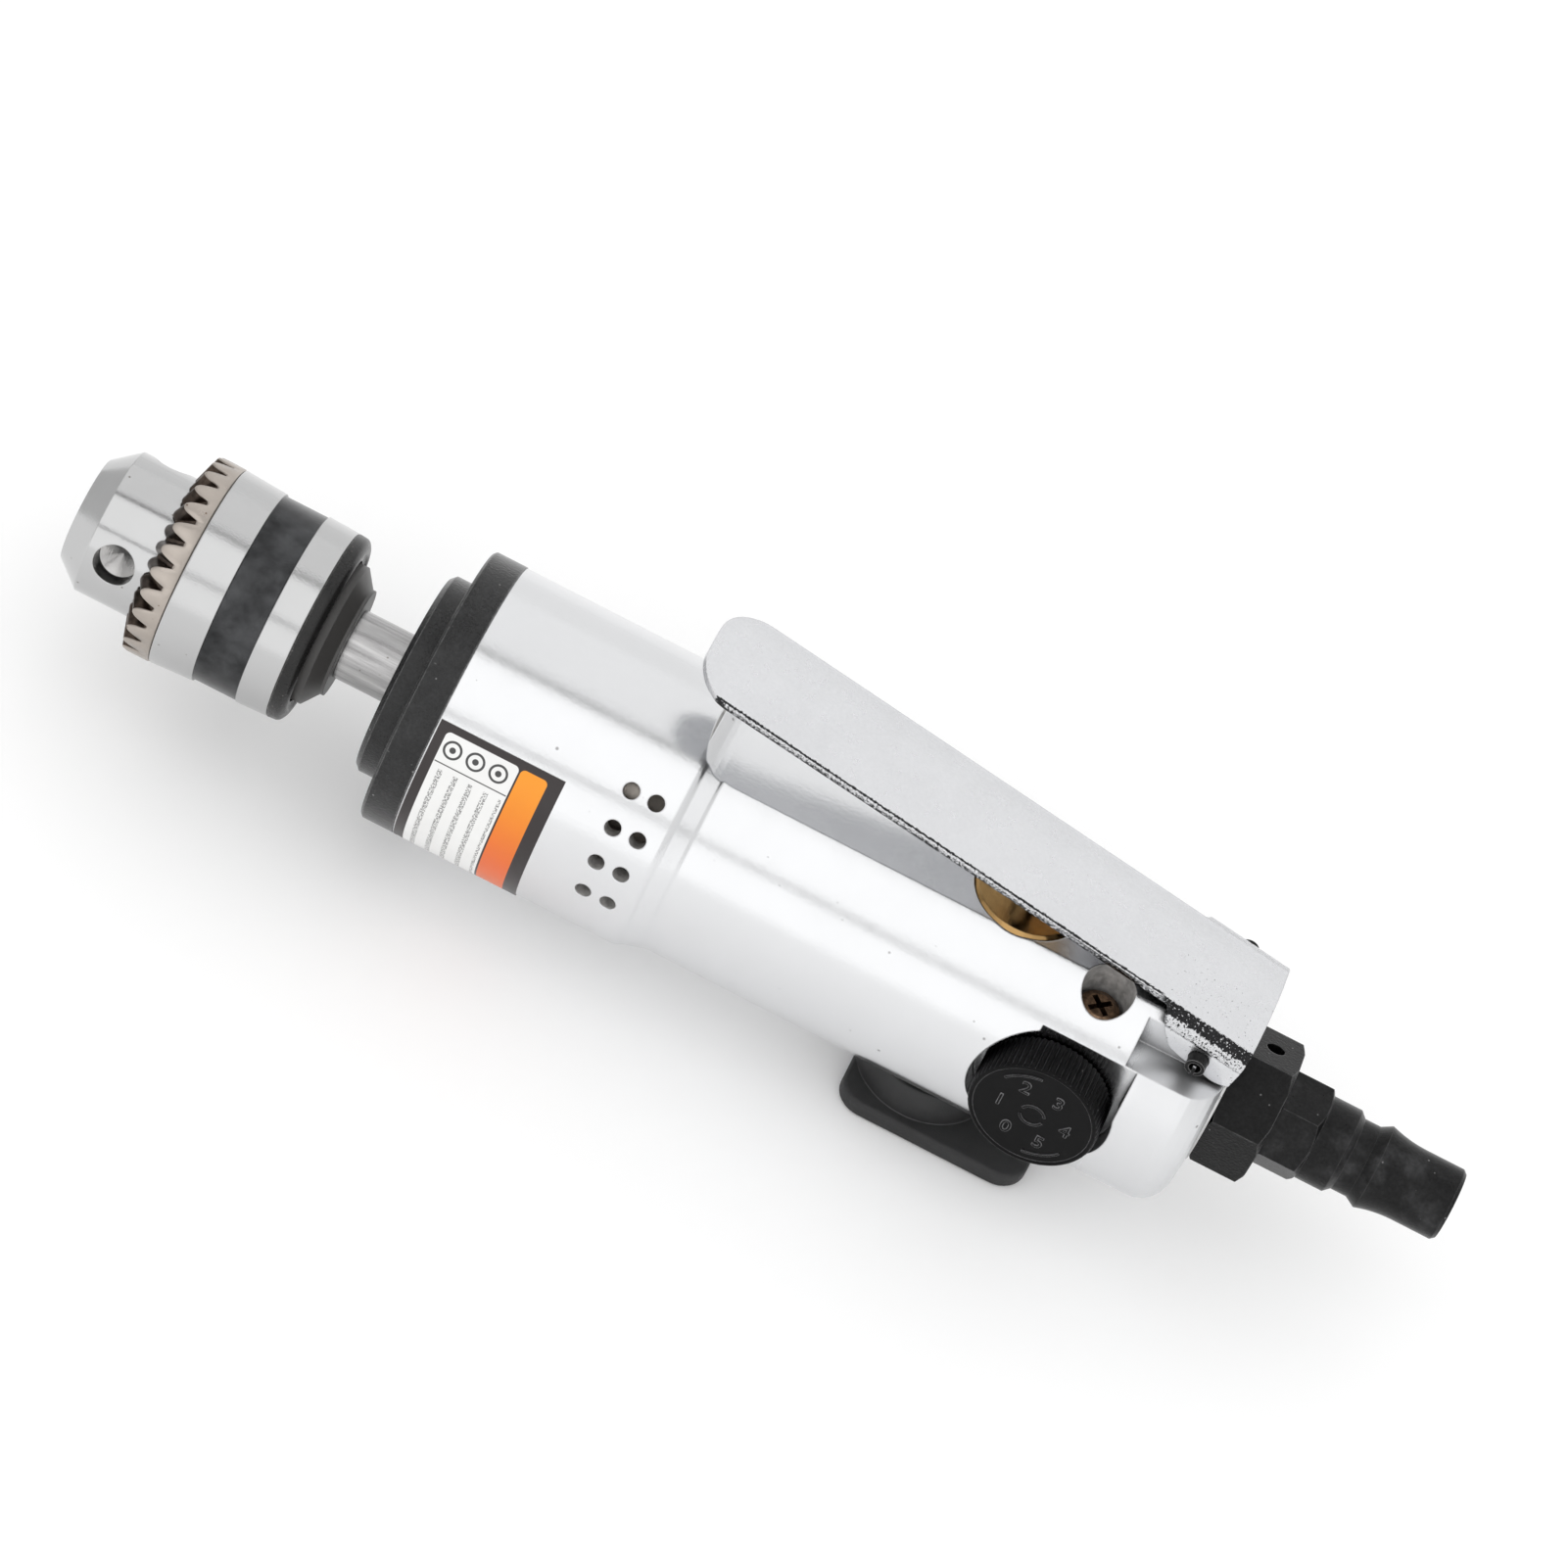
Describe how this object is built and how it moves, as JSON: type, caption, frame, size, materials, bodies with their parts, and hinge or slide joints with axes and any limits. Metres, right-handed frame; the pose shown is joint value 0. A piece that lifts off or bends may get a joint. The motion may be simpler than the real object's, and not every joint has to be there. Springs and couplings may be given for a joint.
{
  "type": "air drill",
  "caption": "Straight air-powered hand drill with a keyed chuck, lever throttle, speed knob, reversing lever and quick-connect air plug.",
  "frame": {"origin": "centre of the chuck's front face, on the tool axis", "axes": "+X along the tool towards the air plug, +Z towards the throttle lever, the speed knob is on the -Y side"},
  "size_m": [0.23, 0.0458, 0.0651],
  "materials": {
    "polished_aluminium": "polished",
    "motor_aluminium": "machined",
    "black_oxide": "black oxide, satin",
    "ground_steel": "ground",
    "sleeve_steel": "turned, with a blackened band",
    "ring_steel": "satin, brownish",
    "gear_steel": "machined",
    "bearing_steel": "polished",
    "plated_sheet": "plated, satin",
    "brass": "turned",
    "bronzed_screw": "bronzed",
    "black_plastic": "gloss",
    "dark_plastic": "matte",
    "rear_ring_black": "satin",
    "seal_rubber": "matte",
    "felt": "felt",
    "vane_resin": "matte",
    "label_film": "printed film"
  },
  "bodies": {
    "body": {"housing": "polished_aluminium", "front_cap": "black_oxide", "spindle_seal": "felt", "spindle_bearing_outer": "bearing_steel", "ring_gear": "gear_steel", "front_end_plate": "motor_aluminium", "motor_cylinder": "gear_steel", "rear_end_plate": "motor_aluminium", "motor_dowel": "bearing_steel", "front_bearing_outer": "bearing_steel", "rear_bearing_outer": "bearing_steel", "lever_pin": "black_oxide", "throttle_bushing": "brass", "throttle_spring": "bearing_steel", "retaining_screw": "bronzed_screw", "inlet_bushing": "black_oxide", "inlet_washer": "ground_steel", "inlet_screen": "bearing_steel", "air_plug": "black_oxide", "label_plate": "label_film"},
    "chuck_and_spindle": {"spindle": "ground_steel", "chuck_body": "ground_steel", "chuck_screw": "black_oxide", "spindle_bearing_inner": "bearing_steel", "planet_pins": "bearing_steel"},
    "sleeve": {"chuck_sleeve": "sleeve_steel", "chuck_gear_ring": "ring_steel", "chuck_rear_ring": "rear_ring_black", "chuck_nut": "gear_steel"},
    "jaw_1": {"chuck_jaw_1": "gear_steel"},
    "jaw_2": {"chuck_jaw_2": "gear_steel"},
    "jaw_3": {"chuck_jaw_3": "gear_steel"},
    "planet_1": {"planet_gear_1": "gear_steel"},
    "planet_2": {"planet_gear_2": "gear_steel"},
    "planet_3": {"planet_gear_3": "gear_steel"},
    "motor_rotor": {"rotor": "gear_steel", "rotor_vanes": "vane_resin", "front_bearing_inner": "bearing_steel", "rear_bearing_inner": "bearing_steel"},
    "spindle_cage": {"spindle_bearing_balls": "bearing_steel"},
    "front_cage": {"front_bearing_balls": "bearing_steel"},
    "rear_cage": {"rear_bearing_balls": "bearing_steel"},
    "lever": {"throttle_lever": "plated_sheet"},
    "throttle": {"throttle_stem": "ground_steel"},
    "speed_control": {"speed_knob": "black_plastic", "speed_valve": "motor_aluminium", "speed_valve_seal": "seal_rubber"},
    "reversing_control": {"reversing_lever": "dark_plastic", "reversing_valve": "motor_aluminium", "reversing_valve_seal": "seal_rubber", "reversing_screw": "black_oxide"}
  },
  "joints": [
    {"name": "spindle_spin", "type": "hinge", "parent": "body", "child": "chuck_and_spindle", "pos_m": [0, 0, 0], "axis": [1, 0, 0], "continuous": true},
    {"name": "sleeve_turn", "type": "hinge", "parent": "chuck_and_spindle", "child": "sleeve", "pos_m": [0, 0, 0], "axis": [1, 0, 0], "range_deg": [0, 4080]},
    {"name": "jaw_1_slide", "type": "slide", "parent": "chuck_and_spindle", "child": "jaw_1", "axis": [-0.9659, 0.0582, -0.2522], "range_m": [0, 0.0171]},
    {"name": "jaw_2_slide", "type": "slide", "parent": "chuck_and_spindle", "child": "jaw_2", "axis": [-0.9659, -0.2475, 0.0757], "range_m": [0, 0.0171]},
    {"name": "jaw_3_slide", "type": "slide", "parent": "chuck_and_spindle", "child": "jaw_3", "axis": [-0.9659, 0.1893, 0.1765], "range_m": [0, 0.0171]},
    {"name": "planet_1_spin", "type": "hinge", "parent": "chuck_and_spindle", "child": "planet_1", "pos_m": [0.075, 0, -0.0105], "axis": [1, 0, 0], "continuous": true},
    {"name": "planet_2_spin", "type": "hinge", "parent": "chuck_and_spindle", "child": "planet_2", "pos_m": [0.075, 0.00909, 0.00525], "axis": [1, 0, 0], "continuous": true},
    {"name": "planet_3_spin", "type": "hinge", "parent": "chuck_and_spindle", "child": "planet_3", "pos_m": [0.075, -0.00909, 0.00525], "axis": [1, 0, 0], "continuous": true},
    {"name": "rotor_spin", "type": "hinge", "parent": "body", "child": "motor_rotor", "pos_m": [0.1, 0, 0], "axis": [1, 0, 0], "continuous": true},
    {"name": "spindle_cage_spin", "type": "hinge", "parent": "body", "child": "spindle_cage", "pos_m": [0.0615, 0, 0], "axis": [1, 0, 0], "continuous": true},
    {"name": "front_cage_spin", "type": "hinge", "parent": "body", "child": "front_cage", "pos_m": [0.0885, 0, 0], "axis": [1, 0, 0], "continuous": true},
    {"name": "rear_cage_spin", "type": "hinge", "parent": "body", "child": "rear_cage", "pos_m": [0.1368, 0, 0], "axis": [1, 0, 0], "continuous": true},
    {"name": "lever_press", "type": "hinge", "parent": "body", "child": "lever", "pos_m": [0.1855, 0, 0.0158], "axis": [0, -1, 0], "range_deg": [0, 7.5], "stiffness_Nm_per_rad": 1, "springref_deg": -11.46},
    {"name": "throttle_slide", "type": "slide", "parent": "body", "child": "throttle", "axis": [0, 0, -1], "range_m": [0, 0.0045], "deforming": ["throttle_spring"]},
    {"name": "speed_turn", "type": "hinge", "parent": "body", "child": "speed_control", "pos_m": [0.1675, 0, 0.001], "axis": [0, -1, 0], "range_deg": [0, 180]},
    {"name": "reversing_turn", "type": "hinge", "parent": "body", "child": "reversing_control", "pos_m": [0.1507, 0, -0.02], "axis": [0, 0, 1], "range_deg": [-30, 30]}
  ],
  "couplings": [
    {"joint": "jaw_1_slide", "follows": "sleeve_turn", "m_per_rad": 0.00023873},
    {"joint": "jaw_2_slide", "follows": "sleeve_turn", "m_per_rad": 0.00023873},
    {"joint": "jaw_3_slide", "follows": "sleeve_turn", "m_per_rad": 0.00023873},
    {"joint": "planet_1_spin", "follows": "spindle_spin", "ratio": -2.6667},
    {"joint": "planet_2_spin", "follows": "spindle_spin", "ratio": -2.6667},
    {"joint": "planet_3_spin", "follows": "spindle_spin", "ratio": -2.6667},
    {"joint": "rotor_spin", "follows": "spindle_spin", "ratio": 5},
    {"joint": "spindle_cage_spin", "follows": "spindle_spin", "ratio": 0.405},
    {"joint": "front_cage_spin", "follows": "spindle_spin", "ratio": 2.1205},
    {"joint": "rear_cage_spin", "follows": "spindle_spin", "ratio": 2.0415},
    {"joint": "throttle_slide", "follows": "lever_press", "m_per_rad": 0.0338}
  ]
}
